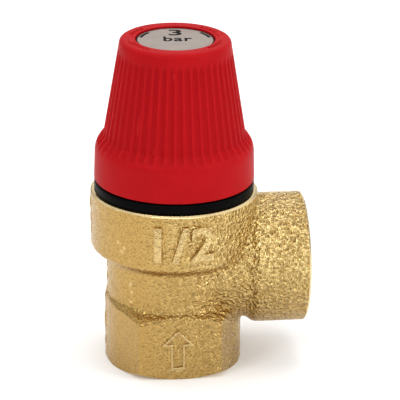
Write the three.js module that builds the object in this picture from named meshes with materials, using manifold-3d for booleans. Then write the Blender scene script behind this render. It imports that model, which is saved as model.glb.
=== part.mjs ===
// A diaphragm pressure relief valve for a small water heater or boiler circuit.
// Water comes in through the hexagon at the foot and pushes up on a rubber disc over a nozzle.
// Above the set pressure the spring gives way, the disc lifts and water leaves by the side outlet.
// Turning the red knob lifts the same spindle by four cam ramps, to test or drain the circuit.
//
// Millimetres, +Z up. The origin is the centre of the inlet face, and the outlet looks along +X.

import * as THREE from 'three';
import { mergeVertices } from 'three/addons/utils/BufferGeometryUtils.js';
import Module from 'manifold-3d';

const wasm = await Module();
wasm.setup();

const degree = Math.PI / 180;

// ---------------------------------------------------------------- driving dimensions

// Forged body, outside
const hexFlats = 27;
const hexHeight = 13;
const hexHalfWidth = 13; // over the two corners that the forging rounds off, on the X axis
const hexFaceRadius = 13.4;
const hexChamfer = Math.tan(30 * degree);
const neckRadius = 12.68;
const bowlFoot = 21.2;
const bowlRadius = 15.69;
const bowlRimRadius = 15.86;
const bodyTop = 33.95;
const rimChamfer = 0.5;

// Outlet boss, on an axis along X
const outletHeight = 19.18;
const outletRadius = 12.4;
const outletNeckRadius = 11.65;
const outletNeckEnd = 13.5;
const outletBossStart = 15.5;
const outletReach = 24.92;
const outletChamfer = 0.3;

// Passages. Both sockets are cut for a half-inch parallel pipe thread.
const socketRadius = 9.32;
const socketMouthRadius = 10.6;
const inletDepth = 11.5;
const outletSocketEnd = 15;
const nozzleBore = 6.5;
const nozzleRadius = 8.3;
const seatHeight = 19.5;
const chamberFloor = 14;
const chamberRadius = 10.7;
const bowlBore = 12.8;
const diaphragmShelf = 29;
const bonnetBore = 14;
const portRadius = 6.8;
const portHeight = 21.1;
const cutterOverrun = 1; // how far a cutter stands out of the face it opens

// Flow arrow on the front flat, in outline
const arrowFoot = 2.2;
const arrowHeight = 8.3;
const arrowHeadFoot = 5.2;
const arrowHeadHalf = 3.65;
const arrowShaftHalf = 1.4;
const arrowLine = 0.4;
const arrowProud = 0.3;

// Bonnet: a collar that screws into the body, a flange on its rim and a tower round the spring
const bonnetFoot = 30.7;
const collarRadius = bonnetBore - 0.2;
const collarBore = 10.8;
const collarBoreTop = 34;
const flangeFoot = bodyTop + 0.1;
const flangeRadius = 15.15;
const flangeTop = 35.85;
const towerRadius = 10;
const towerBore = 8.7;
const towerBoreFoot = 36;
const towerTop = 51.5;

// Cam: four ramps on the flange and four lugs in the knob
const camCount = 4;
const camTravel = 74; // degrees of knob turn from closed to the crest
const camRise = 1.8;
const lugWidth = 10; // degrees
const lugInner = 10.9;
const lugTop = 42;
const rampFoot = 0.3;
const rampOuter = 12.7;
const camSlope = camRise / camTravel;
const camGap = 0.15;

// Knob. Each pair is the [radius, height] of a place where its wall bends.
const knobFoot = 36.05;
const knobTop = 63.59;
const knobFootChamfer = [15.19, 36.4];
const skirtTop = [15.05, 42.1];
const shoulder = [14.5, 43.6];
const waist = [13.37, 45.03];
const crown = [10.6, 62.2];
const rimRadius = 9.4;
const hollowFoot = [13.2, 42];
const hollowWaist = [11.2, 46];
const hollowTop = [9, 61];
const cupRadius = 6.3;
const cupWall = 1.6;
const cupFloor = 55;
const webThickness = 1.5;
const labelRadius = 7.3;
const labelThickness = 0.6;
const labelRecess = 62.6;
const fluteCount = 48;
const fluteStart = 5.3; // degrees
const fluteDepth = 0.45;
const fluteFoot = { radius: 13.6, height: 43.6, cutter: 0.8 };
const fluteHead = { radius: 10.53, height: 62.6, cutter: 0.62 };

// Spindle
const stemRadius = 3;
const stemFoot = 23;
const stemTop = 60;
const stemFit = 0.08; // how much wider a hole on the stem is, as a radius
const clipHeight = 33.1;
const clipThickness = 0.6;
const looseFit = 0.05; // gap between two flat faces that lie on each other
const clipGroove = 2.4;
const sealRadius = 8.6;
const sealThickness = 1.95;
const sealHole = 1.6;
const holderRadius = 9.8;
const holderFoot = 20.3;
const holderTop = 23;
const hubRadius = 6;
const hubFoot = 25.5;
const hubTop = 29;
const screwRadius = 1.45;
const screwHeadRadius = 2.8;
const screwFoot = 17.3;

// Diaphragm and what clamps it
const diaphragmRadius = 13.7;
const diaphragmHole = 3.12;
const diaphragmThickness = 0.9;
const slipRingInner = 11;
const slipRingThickness = 0.6;
const slipRingFoot = 30.02;
const washerFoot = 30;
const plateFoot = 31.05;

// Nuts
const nutFlats = 10;
const adjusterFoot = 47.95;
const adjusterThickness = 3.2;
const adjusterSocketFloor = 1.6;
const lockNutThickness = 3.5;

// Spring
const wireRadius = 0.8;
const coilRadius = 7.2;
const springFoot = 31.9;
const springTop = 47;
const springTurns = 6;
const endGap = 0.15; // between the wire of a closed end turn and the next

// ---------------------------------------------------------------- making solids

// A closed triangle mesh as a solid that can be joined and cut.
function toSolid(geometry) {
  const bare = new THREE.BufferGeometry();
  bare.setAttribute('position', geometry.getAttribute('position').clone());
  bare.setIndex(geometry.index ? geometry.index.clone() : null);
  const merged = mergeVertices(bare, 1e-4);
  const index = merged.index.array;
  const corners = [];
  for (let i = 0; i < index.length; i += 3) {
    const [a, b, c] = [index[i], index[i + 1], index[i + 2]];
    if (a !== b && b !== c && c !== a) corners.push(a, b, c);
  }
  const vertProperties = merged.attributes.position.array;
  const triVerts = new Uint32Array(corners);
  return new wasm.Manifold(new wasm.Mesh({ numProp: 3, vertProperties, triVerts }));
}

// Twice the area inside a closed outline, positive when it runs anticlockwise.
function twiceArea(outline) {
  return outline.reduce((sum, [x, y], i) => {
    const [nextX, nextY] = outline[(i + 1) % outline.length];
    return sum + x * nextY - nextX * y;
  }, 0);
}

// The lathe's surface for a closed outline of [radius, height] points, about the Y axis.
function latheOf(outline, segments) {
  const ordered = twiceArea(outline) > 0 ? outline : [...outline].reverse();
  const points = ordered.map(([radius, height]) => new THREE.Vector2(radius, height));
  points.push(points[0].clone());
  return new THREE.LatheGeometry(points, segments);
}

// A piece turned about the valve's own axis.
function turned(outline, segments = 28, phase = 0) {
  return toSolid(latheOf(outline, segments).rotateX(Math.PI / 2).rotateZ(phase));
}

// A piece turned about a horizontal axis along X, at the given height.
function turnedAlongX(outline, height, segments = 40) {
  return toSolid(latheOf(outline, segments).rotateZ(-Math.PI / 2).translate(0, 0, height));
}

function extruded(shape, depth) {
  return new THREE.ExtrudeGeometry(shape, { depth, bevelEnabled: false });
}

// A plate of the given outline, lying at a height.
function plate(shape, thickness, height = 0) {
  return toSolid(extruded(shape, thickness).translate(0, 0, height));
}

// A plate of the given outline, upright, with its back at y and its front towards -Y.
function uprightPlate(shape, thickness, y, height) {
  return toSolid(extruded(shape, thickness).rotateX(Math.PI / 2).translate(0, y, height));
}

function block(width, depth, height, x, y, z) {
  return toSolid(new THREE.BoxGeometry(width, depth, height).translate(x, y, z));
}

// A block bent round the valve's axis between two angles, whose top climbs steadily.
function bentBlock({ inner, outer, from, to, bottom, topFrom, topTo, steps = 8 }) {
  const geometry = new THREE.BoxGeometry(1, 1, 1, steps, 1, 1);
  const place = geometry.attributes.position;
  for (let i = 0; i < place.count; i++) {
    const along = place.getX(i) + 0.5;
    const radius = outer - (place.getY(i) + 0.5) * (outer - inner);
    const top = topFrom + along * (topTo - topFrom);
    const height = bottom + (place.getZ(i) + 0.5) * (top - bottom);
    const angle = (from + along * (to - from)) * degree;
    place.setXYZ(i, radius * Math.cos(angle), radius * Math.sin(angle), height);
  }
  return toSolid(geometry);
}

function ring(inner, outer, thickness, segments = 28) {
  return turned([[inner, 0], [outer, 0], [outer, thickness], [inner, thickness]], segments);
}

function hexagon(acrossFlats) {
  const shape = new THREE.Shape();
  const corner = acrossFlats / 2 / Math.cos(30 * degree);
  for (let i = 0; i < 6; i++) {
    const x = corner * Math.cos(i * 60 * degree);
    const y = corner * Math.sin(i * 60 * degree);
    if (i === 0) shape.moveTo(x, y);
    else shape.lineTo(x, y);
  }
  return shape;
}

function material(color, roughness, metalness) {
  return new THREE.MeshStandardMaterial({ color, roughness, metalness });
}

// A named mesh from a solid, raised to its place on the valve's axis.
function piece(name, solid, look, height = 0) {
  const { vertProperties, triVerts } = solid.getMesh();
  const geometry = new THREE.BufferGeometry();
  geometry.setAttribute('position', new THREE.BufferAttribute(vertProperties, 3));
  geometry.setIndex(new THREE.BufferAttribute(triVerts, 1));
  geometry.computeVertexNormals();
  const mesh = new THREE.Mesh(geometry, look);
  mesh.name = name;
  mesh.position.z = height;
  return mesh;
}

// ---------------------------------------------------------------- body

// The hexagon's outline: flats at front and back, and its two corners on X in a wide arc.
function bodyHexOutline() {
  const apothem = hexFlats / 2;
  const corner = apothem / Math.cos(30 * degree);
  const arcRadius = (corner - hexHalfWidth) / (1 / Math.cos(30 * degree) - 1);
  const arcCentre = (apothem - arcRadius) / Math.cos(30 * degree);
  const shape = new THREE.Shape();
  shape.absarc(arcCentre, 0, arcRadius, -30 * degree, 30 * degree, false);
  shape.lineTo(corner / 2, apothem);
  shape.lineTo(-corner / 2, apothem);
  shape.absarc(-arcCentre, 0, arcRadius, 150 * degree, 210 * degree, false);
  shape.lineTo(-corner / 2, -apothem);
  shape.lineTo(corner / 2, -apothem);
  shape.closePath();
  return shape;
}

// The hexagon, with both ends turned to a shallow cone that takes its corners off.
function bodyHex() {
  const widest = 16;
  const footChamfer = (widest - hexFaceRadius) * hexChamfer;
  const topChamfer = (widest - neckRadius) * hexChamfer;
  const cones = turned([
    [0, 0],
    [hexFaceRadius, 0],
    [widest, footChamfer],
    [widest, hexHeight - topChamfer],
    [neckRadius, hexHeight],
    [0, hexHeight],
  ], 48);
  return plate(bodyHexOutline(), hexHeight).intersect(cones);
}

function bodyNeckAndBowl() {
  const insideHex = 5;
  const coneRise = (bowlRadius - neckRadius) * hexChamfer;
  return turned([
    [0, insideHex],
    [neckRadius, insideHex],
    [neckRadius, bowlFoot],
    [bowlRadius, bowlFoot + coneRise],
    [bowlRimRadius, bodyTop - rimChamfer - 0.2],
    [bowlRimRadius - rimChamfer, bodyTop],
    [0, bodyTop],
  ], 48);
}

function outletBoss() {
  const insideBody = 2;
  return turnedAlongX([
    [0, insideBody],
    [outletNeckRadius, insideBody],
    [outletNeckRadius, outletNeckEnd],
    [outletRadius, outletBossStart],
    [outletRadius, outletReach - outletChamfer],
    [outletRadius - outletChamfer, outletReach],
    [0, outletReach],
  ], outletHeight);
}

// Everything hollow about the upright axis: inlet socket, nozzle bore, the chamber round the
// nozzle with its raised seat, the bowl and the bore that the bonnet screws into.
function uprightPassage() {
  const seatInner = nozzleBore + 0.4;
  const seatOuter = nozzleBore + 1;
  const bonnetMouth = 0.6;
  return turned([
    [0, -cutterOverrun],
    [socketMouthRadius + cutterOverrun, -cutterOverrun],
    [socketRadius, socketMouthRadius - socketRadius],
    [socketRadius, inletDepth],
    [nozzleBore, inletDepth],
    [nozzleBore, seatHeight - 0.5],
    [seatInner, seatHeight],
    [seatOuter, seatHeight],
    [nozzleRadius, seatHeight - 0.7],
    [nozzleRadius, chamberFloor],
    [chamberRadius, chamberFloor],
    [chamberRadius, bowlFoot - 0.2],
    [bowlBore, bowlFoot + 1.6],
    [bowlBore, diaphragmShelf],
    [bonnetBore, diaphragmShelf],
    [bonnetBore, bodyTop - bonnetMouth],
    [bonnetBore + bonnetMouth, bodyTop],
    [bonnetBore + bonnetMouth, bodyTop + cutterOverrun],
    [0, bodyTop + cutterOverrun],
  ], 48);
}

function outletSocket() {
  return turnedAlongX([
    [0, outletSocketEnd],
    [socketRadius, outletSocketEnd],
    [socketRadius, outletReach - (socketMouthRadius - socketRadius)],
    [socketMouthRadius + cutterOverrun, outletReach + cutterOverrun],
    [0, outletReach + cutterOverrun],
  ], outletHeight);
}

// The round way from the chamber to the outlet socket, kept clear of the nozzle.
function outletPort() {
  const insideNozzle = 5;
  const overlap = 0.2;
  const way = turnedAlongX([
    [0, insideNozzle],
    [portRadius, insideNozzle],
    [portRadius, outletSocketEnd + overlap],
    [0, outletSocketEnd + overlap],
  ], portHeight);
  return way.subtract(turned([
    [0, 0],
    [nozzleRadius, 0],
    [nozzleRadius, seatHeight + overlap / 2],
    [0, seatHeight + overlap / 2],
  ], 48));
}

// The outline of an upright arrow that stands on y = foot.
function arrowOutline(foot, top, headHalf, headFoot, shaftHalf) {
  const shape = new THREE.Shape();
  shape.moveTo(0, top);
  shape.lineTo(-headHalf, headFoot);
  shape.lineTo(-shaftHalf, headFoot);
  shape.lineTo(-shaftHalf, foot);
  shape.lineTo(shaftHalf, foot);
  shape.lineTo(shaftHalf, headFoot);
  shape.lineTo(headHalf, headFoot);
  shape.closePath();
  return shape;
}

// A flow arrow in outline, standing proud of the front flat.
function flowArrow() {
  const sunk = 0.5;
  const outline = arrowOutline(0, arrowHeight, arrowHeadHalf, arrowHeadFoot, arrowShaftHalf);
  const hollow = arrowOutline(
    arrowLine,
    arrowHeight - 1.5 * arrowLine,
    arrowHeadHalf - 2.25 * arrowLine,
    arrowHeadFoot + arrowLine,
    arrowShaftHalf - arrowLine,
  );
  const back = sunk - hexFlats / 2;
  const thickness = arrowProud + sunk;
  const outside = uprightPlate(outline, thickness, back, arrowFoot);
  return outside.subtract(uprightPlate(hollow, thickness + 2 * sunk, back + sunk, arrowFoot));
}

function valveBody() {
  return bodyHex()
    .add(bodyNeckAndBowl())
    .add(outletBoss())
    .subtract(uprightPassage())
    .subtract(outletSocket())
    .subtract(outletPort())
    .add(flowArrow());
}

// ---------------------------------------------------------------- bonnet and knob

function bonnetShell() {
  return turned([
    [collarBore, bonnetFoot],
    [collarRadius, bonnetFoot],
    [collarRadius, flangeFoot],
    [flangeRadius, flangeFoot],
    [flangeRadius, flangeTop],
    [towerRadius, flangeTop],
    [towerRadius, towerTop],
    [towerBore, towerTop],
    [towerBore, towerBoreFoot],
    [collarBore, collarBoreTop],
  ], 48);
}

// Four ramps that climb anticlockwise, seen from above.
function camRamps() {
  const span = lugWidth + camTravel + 1;
  const sunk = 0.2;
  const ramps = [];
  for (let i = 0; i < camCount; i++) {
    const start = (i * 360) / camCount;
    ramps.push(bentBlock({
      inner: towerRadius - sunk,
      outer: rampOuter,
      from: start,
      to: start + span,
      bottom: flangeTop - sunk,
      topFrom: flangeTop + rampFoot,
      topTo: flangeTop + rampFoot + camSlope * span,
      steps: 10,
    }));
  }
  return ramps.reduce((all, one) => all.add(one));
}

// The lugs hang from the knob's wall. Each one's leading edge stands just above its ramp.
function knobLugs() {
  const underside = flangeTop + rampFoot + camSlope * lugWidth + camGap;
  const sunk = 0.4;
  const lugs = [];
  for (let i = 0; i < camCount; i++) {
    const start = (i * 360) / camCount;
    lugs.push(bentBlock({
      inner: lugInner,
      outer: hollowFoot[0] + sunk,
      from: start,
      to: start + lugWidth,
      bottom: underside,
      topFrom: lugTop,
      topTo: lugTop,
      steps: 2,
    }));
  }
  return lugs.reduce((all, one) => all.add(one));
}

// Shell, cup and web of the knob. The outer wall leans in above a rounded shoulder.
function knobShell() {
  const stemHole = stemRadius + 0.4;
  return turned([
    [knobFootChamfer[0] - 0.34, knobFoot],
    knobFootChamfer,
    skirtTop,
    shoulder,
    waist,
    crown,
    [rimRadius, knobTop],
    [labelRadius + 0.2, knobTop],
    [labelRadius + 0.2, labelRecess],
    [cupRadius, labelRecess],
    [cupRadius, cupFloor],
    [stemHole, cupFloor],
    [stemHole, cupFloor - webThickness],
    [cupRadius + cupWall, cupFloor - webThickness],
    [cupRadius + cupWall, hollowTop[1]],
    hollowTop,
    hollowWaist,
    hollowFoot,
    [hollowFoot[0], knobFoot],
  ], fluteCount, (fluteStart - 180 / fluteCount) * degree);
}

// Leaning round-bottomed grooves, narrower towards the top.
function knobFlutes() {
  const run = fluteFoot.radius - fluteHead.radius;
  const rise = fluteHead.height - fluteFoot.height;
  const lean = Math.atan(run / rise);
  const length = rise / Math.cos(lean);
  const outset = fluteFoot.cutter - fluteDepth;
  const grooves = [];
  for (let i = 0; i < fluteCount; i++) {
    const groove = new THREE.CylinderGeometry(fluteHead.cutter, fluteFoot.cutter, length, 6);
    groove.rotateX(Math.PI / 2).translate(0, 0, length / 2).rotateY(-lean);
    groove.translate(fluteFoot.radius + outset, 0, fluteFoot.height);
    groove.rotateZ((fluteStart + (i * 360) / fluteCount) * degree);
    grooves.push(toSolid(groove));
  }
  return grooves.reduce((all, one) => all.add(one));
}

function knob() {
  return knobShell().subtract(knobFlutes()).add(knobLugs());
}

// ---------------------------------------------------------------- spindle pieces

function stem() {
  const length = stemTop - stemFoot;
  const grooveFoot = clipHeight - looseFit - stemFoot;
  const grooveTop = grooveFoot + clipThickness + 2 * looseFit;
  const holeRadius = screwRadius + 0.1;
  const holeDepth = 5;
  const tip = 0.5;
  return turned([
    [0, holeDepth],
    [holeRadius, holeDepth],
    [holeRadius, 0],
    [stemRadius, 0],
    [stemRadius, grooveFoot],
    [clipGroove, grooveFoot],
    [clipGroove, grooveTop],
    [stemRadius, grooveTop],
    [stemRadius, length - tip],
    [stemRadius - tip, length],
    [0, length],
  ], 24);
}

// The disc holder: a shallow cup over the rubber disc, with a hub up to the diaphragm.
function obturator() {
  const cupTop = seatHeight + looseFit + sealThickness + looseFit;
  const pocketRadius = sealRadius + 0.1;
  return turned([
    [sealHole, cupTop],
    [pocketRadius, cupTop],
    [pocketRadius, holderFoot],
    [holderRadius, holderFoot],
    [holderRadius, holderTop],
    [hubRadius, hubFoot],
    [hubRadius, hubTop],
    [stemRadius + stemFit, hubTop],
    [stemRadius + stemFit, stemFoot - looseFit],
    [sealHole, stemFoot - looseFit],
  ], 32);
}

function sealScrew() {
  const headHeight = 1.6;
  const headChamfer = 0.6;
  const length = 10;
  const slotWidth = 0.8;
  const screw = turned([
    [0, 0],
    [screwHeadRadius - headChamfer, 0],
    [screwHeadRadius, 0.5],
    [screwHeadRadius, headHeight],
    [screwRadius, headHeight],
    [screwRadius, length],
    [0, length],
  ], 24);
  return screw.subtract(block(slotWidth, 7, headHeight, 0, 0, 0));
}

// The spring's lower seat, with a hub that centres the spring.
function springPlate() {
  const plateRadius = 8.3;
  const plateThickness = 0.8;
  const springHub = 6.1;
  const springHubTop = 1.95;
  return turned([
    [stemRadius + 0.1, 0],
    [plateRadius, 0],
    [plateRadius, plateThickness],
    [springHub, plateThickness],
    [springHub, springHubTop],
    [stemRadius + 0.1, springHubTop],
  ], 32);
}

function springClip() {
  const outer = 5;
  const slot = 3.6;
  const whole = ring(clipGroove + looseFit, outer, clipThickness, 24);
  return whole.subtract(block(outer + 1, slot, 2, (outer + 1) / 2, 0, 0));
}

// Turns of even pitch between two closed end turns.
class SpringLine extends THREE.Curve {
  getPoint(t) {
    const turn = t * springTurns;
    const rise = springTop - springFoot - 2 * wireRadius;
    const endPitch = 2 * wireRadius + endGap;
    const midPitch = (rise - 2 * endPitch) / (springTurns - 2);
    const closedBelow = Math.min(turn, 1);
    const closedAbove = Math.max(turn - springTurns + 1, 0);
    const open = turn - closedBelow - closedAbove;
    const angle = turn * 2 * Math.PI;
    const height = wireRadius + endPitch * (closedBelow + closedAbove) + midPitch * open;
    return new THREE.Vector3(coilRadius * Math.cos(angle), coilRadius * Math.sin(angle), height);
  }
}

function spring() {
  const sides = 6;
  const stepsPerTurn = 16;
  const section = new THREE.Shape();
  for (let i = 0; i < sides; i++) {
    const angle = (i * 2 * Math.PI) / sides;
    const x = wireRadius * Math.cos(angle);
    const y = wireRadius * Math.sin(angle);
    if (i === 0) section.moveTo(x, y);
    else section.lineTo(x, y);
  }
  const extrudePath = new SpringLine();
  const steps = springTurns * stepsPerTurn;
  return toSolid(new THREE.ExtrudeGeometry(section, { steps, extrudePath }));
}

// A round plug with a hexagonal socket for the setting key and a guide hole for the stem.
function adjustingNut() {
  const plug = ring(stemRadius + 0.3, towerBore - 0.1, adjusterThickness, 32);
  const socketDepth = adjusterThickness - adjusterSocketFloor + cutterOverrun;
  return plug.subtract(plate(hexagon(nutFlats), socketDepth, adjusterSocketFloor));
}

function lockNut() {
  const corner = 6;
  const chamfer = 0.4;
  const chamfers = turned([
    [0, 0],
    [corner, 0],
    [corner, lockNutThickness - chamfer],
    [corner - 2 * chamfer, lockNutThickness],
    [0, lockNutThickness],
  ], 24);
  const hole = turned([
    [0, -cutterOverrun],
    [stemRadius + stemFit, -cutterOverrun],
    [stemRadius + stemFit, lockNutThickness + cutterOverrun],
    [0, lockNutThickness + cutterOverrun],
  ], 24);
  return plate(hexagon(nutFlats), lockNutThickness).intersect(chamfers).subtract(hole);
}

// ---------------------------------------------------------------- assembly

const brass = material(0xb8935b, 0.35, 1);
const blackPlastic = material(0x141315, 0.5, 0);
const redPlastic = material(0xbe1e24, 0.4, 0);
const greyPrint = material(0xb1a59d, 0.6, 0);
const rubber = material(0x1c1c1e, 0.8, 0);
const steel = material(0xa9abae, 0.3, 1);

const diaphragm = ring(diaphragmHole, diaphragmRadius, diaphragmThickness, 40);
const slipRing = ring(slipRingInner, diaphragmRadius, slipRingThickness, 40);
const upperSpringWasher = ring(4.2, 8.4, 0.8);
const sealDisc = ring(sealHole, sealRadius, sealThickness);
const sealRetainer = ring(sealHole, 4.6, 0.55, 24);
const diaphragmWasher = ring(stemRadius + 0.1, sealRadius, 1);
const labelDisc = ring(0, labelRadius, labelThickness);
const liftWasher = ring(stemRadius + 0.2, cupRadius - 0.4, 1);

// What stays with the body while the valve works.
const fixed = new THREE.Group();
fixed.add(piece('valve_body', valveBody(), brass));
fixed.add(piece('bonnet', bonnetShell().add(camRamps()), blackPlastic));
fixed.add(piece('diaphragm', diaphragm, rubber, diaphragmShelf + looseFit));
fixed.add(piece('slip_ring', slipRing, steel, slipRingFoot));
fixed.add(piece('spring', spring(), steel, springFoot));
fixed.add(piece('upper_spring_washer', upperSpringWasher, steel, springTop + looseFit));
fixed.add(piece('adjusting_nut', adjustingNut(), brass, adjusterFoot));

// What the diaphragm, the disc and the spindle lift together.
const spindle = new THREE.Group();
spindle.add(piece('stem', stem(), brass, stemFoot));
spindle.add(piece('obturator', obturator(), brass));
spindle.add(piece('seat_seal', sealDisc, rubber, seatHeight + looseFit));
spindle.add(piece('seal_retainer', sealRetainer, steel, seatHeight - 0.55));
spindle.add(piece('seal_screw', sealScrew(), steel, screwFoot));
spindle.add(piece('diaphragm_washer', diaphragmWasher, steel, washerFoot));
spindle.add(piece('spring_plate', springPlate(), steel, plateFoot));
spindle.add(piece('spring_clip', springClip(), steel, clipHeight));
spindle.add(piece('lock_nut', lockNut(), brass, cupFloor + 1.15));

// What a hand turns, and the washer that carries the lift from it to the lock nut.
const control = new THREE.Group();
control.add(piece('knob', knob(), redPlastic));
control.add(piece('label_disc', labelDisc, greyPrint, labelRecess + 0.03));
control.add(piece('lift_washer', liftWasher, steel, cupFloor + looseFit));

const valve = new THREE.Group();
valve.add(fixed, spindle, control);

export default valve;
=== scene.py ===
# %% [markdown]
# # A pressure relief valve, piece by piece
# This valve protects a small heating circuit. Water pushes up on a rubber disc in the brass body, and
# above 3 bar the spring gives way and water leaves by the side outlet. Turning the red knob climbs four
# ramps and lifts the same spindle by hand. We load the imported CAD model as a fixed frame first, so that
# every new piece has its true place and rides on the body it moves with.

# %% Load the frame
import math

import bmesh
import bpy
from mathutils import Matrix, Vector, noise


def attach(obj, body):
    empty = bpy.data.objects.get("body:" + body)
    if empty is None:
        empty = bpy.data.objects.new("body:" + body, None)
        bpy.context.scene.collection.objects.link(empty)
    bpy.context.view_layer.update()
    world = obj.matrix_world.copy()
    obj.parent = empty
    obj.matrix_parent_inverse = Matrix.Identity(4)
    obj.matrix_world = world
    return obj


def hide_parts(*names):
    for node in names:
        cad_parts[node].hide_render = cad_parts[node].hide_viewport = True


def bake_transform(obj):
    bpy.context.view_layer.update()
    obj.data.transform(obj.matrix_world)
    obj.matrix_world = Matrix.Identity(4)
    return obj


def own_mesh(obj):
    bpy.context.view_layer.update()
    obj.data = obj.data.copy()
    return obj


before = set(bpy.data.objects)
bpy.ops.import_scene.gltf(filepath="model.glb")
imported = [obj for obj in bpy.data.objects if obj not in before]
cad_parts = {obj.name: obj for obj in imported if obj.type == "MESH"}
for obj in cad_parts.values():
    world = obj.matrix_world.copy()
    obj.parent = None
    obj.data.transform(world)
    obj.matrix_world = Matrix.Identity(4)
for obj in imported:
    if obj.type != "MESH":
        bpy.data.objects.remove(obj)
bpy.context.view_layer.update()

# %% [markdown]
# ## The viewpoint
# A long lens far away keeps upright lines almost parallel. We look down about 21 degrees, slightly from the
# left of the wrench flat with the arrow, and aim beside the axis so that the outlet has room on the right.

# %% Camera
MM = 0.001  # a millimetre, in Blender's metres
AZIMUTH = math.radians(-7.1)
ELEVATION = math.radians(20.76)
ROLL = math.radians(0.7)
DISTANCE = 530.7 * MM
SENSOR = 36  # these two are in millimetres, as Blender wants them
LENS = 251
AIM_ASIDE = 4.97 * MM
AIM_HEIGHT = 31.39 * MM

back = Vector((
    math.sin(AZIMUTH) * math.cos(ELEVATION),
    -math.cos(AZIMUTH) * math.cos(ELEVATION),
    math.sin(ELEVATION),
))
aside = Vector((math.cos(AZIMUTH), math.sin(AZIMUTH), 0))
upward = back.cross(aside)
right = aside * math.cos(ROLL) + upward * math.sin(ROLL)
top = upward * math.cos(ROLL) - aside * math.sin(ROLL)
aim = aside * AIM_ASIDE + Vector((0, 0, AIM_HEIGHT))

camera = bpy.data.objects.new("camera", bpy.data.cameras.new("camera"))
bpy.context.scene.collection.objects.link(camera)
camera.data.sensor_width = SENSOR
camera.data.lens = LENS
camera.data.clip_start = 0.01
facing = Matrix((right, top, back)).transposed().to_4x4()
camera.matrix_world = Matrix.Translation(aim + back * DISTANCE) @ facing
bpy.context.scene.camera = camera
print("camera, mm:", [round(x * 1000, 1) for x in camera.location])

# %% [markdown]
# ## Keeping pieces simple to add
# A bmesh is Blender's workbench: we shape it with operators, then store it as an object. Each finished
# object sits at the origin with its place in its mesh. Two small helpers store a bmesh and apply modifiers.


# %% Helpers that store and finish a mesh
def add_object(name, bm, *materials):
    mesh = bpy.data.meshes.new(name)
    bm.to_mesh(mesh)
    bm.free()
    made = bpy.data.objects.new(name, mesh)
    bpy.context.scene.collection.objects.link(made)
    for material in materials:
        mesh.materials.append(material)
    return made


def apply_modifiers(made):
    bpy.context.view_layer.update()
    graph = bpy.context.evaluated_depsgraph_get()
    mesh = bpy.data.meshes.new_from_object(made.evaluated_get(graph))
    made.modifiers.clear()
    made.data = mesh
    return made


def smooth_shade(made, sharp_over=38):
    made.data.shade_smooth()
    made.data.set_sharp_from_angle(angle=math.radians(sharp_over))
    triangles = sum(len(face.vertices) - 2 for face in made.data.polygons)
    print(made.name, "triangles:", triangles)
    return made


# %% [markdown]
# ## Floor and light
# A pale floor and large soft lights make a plain studio. Brass shows what stands round it, so the light
# room matters more than the lamps: upright walls show the white floor, and a darker band at the horizon
# is what each small bump catches, so the grain sparkles. The room is brighter behind and on the outlet's
# side than in front. The floor glows faintly, which keeps it pale round the foot.

# %% Floor
FLOOR_SIZE = 40  # metres, so wide that its edge lies on the horizon
floor_mesh = bmesh.new()
bmesh.ops.create_grid(floor_mesh, x_segments=2, y_segments=2, size=FLOOR_SIZE)
floor = add_object("floor", floor_mesh)

floor_paint = bpy.data.materials.new("floor_paint")
floor_paint.use_nodes = True
paint = floor_paint.node_tree.nodes["Principled BSDF"].inputs
paint["Base Color"].default_value = (0.93, 0.93, 0.93, 1)
paint["Roughness"].default_value = 0.9
paint["Specular IOR Level"].default_value = 0.1
paint["Emission Color"].default_value = (1, 1, 1, 1)
paint["Emission Strength"].default_value = 0.12
floor.data.materials.append(floor_paint)
print("floor, metres:", [round(side, 1) for side in floor.dimensions[:2]])

# %% World
SKY = (  # share of the way up from straight below, and the light there
    (0.00, (0.30, 0.30, 0.30)),
    (0.50, (0.30, 0.29, 0.27)),
    (0.60, (0.36, 0.36, 0.36)),
    (0.72, (0.85, 0.85, 0.85)),
    (1.00, (0.85, 0.85, 0.85)),
)
world = bpy.data.worlds.new("studio")
bpy.context.scene.world = world
world.use_nodes = True
sky = world.node_tree
direction = sky.nodes.new("ShaderNodeTexCoord")
split = sky.nodes.new("ShaderNodeSeparateXYZ")
sky.links.new(direction.outputs["Generated"], split.inputs[0])


def along(axis, at_low_end, at_high_end):
    node = sky.nodes.new("ShaderNodeMapRange")
    node.inputs["From Min"].default_value = -1
    node.inputs["To Min"].default_value = at_low_end
    node.inputs["To Max"].default_value = at_high_end
    sky.links.new(split.outputs[axis], node.inputs["Value"])
    return node.outputs["Result"]


shade = sky.nodes.new("ShaderNodeValToRGB")
for position, colour in SKY[1:-1]:
    shade.color_ramp.elements.new(position)
for element, (position, colour) in zip(shade.color_ramp.elements, SKY):
    element.position = position
    element.color = (*colour, 1)
sky.links.new(along("Z", 0, 1), shade.inputs[0])
sky.links.new(shade.outputs["Color"], sky.nodes["Background"].inputs["Color"])

strength = sky.nodes.new("ShaderNodeMath")
strength.operation = "MULTIPLY"
sky.links.new(along("X", 0.75, 1.20), strength.inputs[0])
sky.links.new(along("Y", 0.80, 1.45), strength.inputs[1])
sky.links.new(strength.outputs[0], sky.nodes["Background"].inputs["Strength"])
bpy.context.scene.view_settings.view_transform = "Standard"
print("sky steps:", len(shade.color_ramp.elements))


# %% Lamps
VALVE_MIDDLE = (0, 0, 0.03)


def add_lamp(name, power, size, place):
    data = bpy.data.lights.new(name, "AREA")
    data.energy = power
    data.size = size
    lamp = bpy.data.objects.new(name, data)
    bpy.context.scene.collection.objects.link(lamp)
    lamp.location = place
    lamp.rotation_euler = (Vector(place) - Vector(VALVE_MIDDLE)).to_track_quat("Z", "Y").to_euler()


add_lamp("key", 0.95, 0.20, (-0.42, -0.40, 0.45))
add_lamp("fill", 1.0, 0.20, (0.50, -0.35, 0.30))
add_lamp("overhead", 1.35, 0.45, (0.0, 0.05, 0.65))


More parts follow.
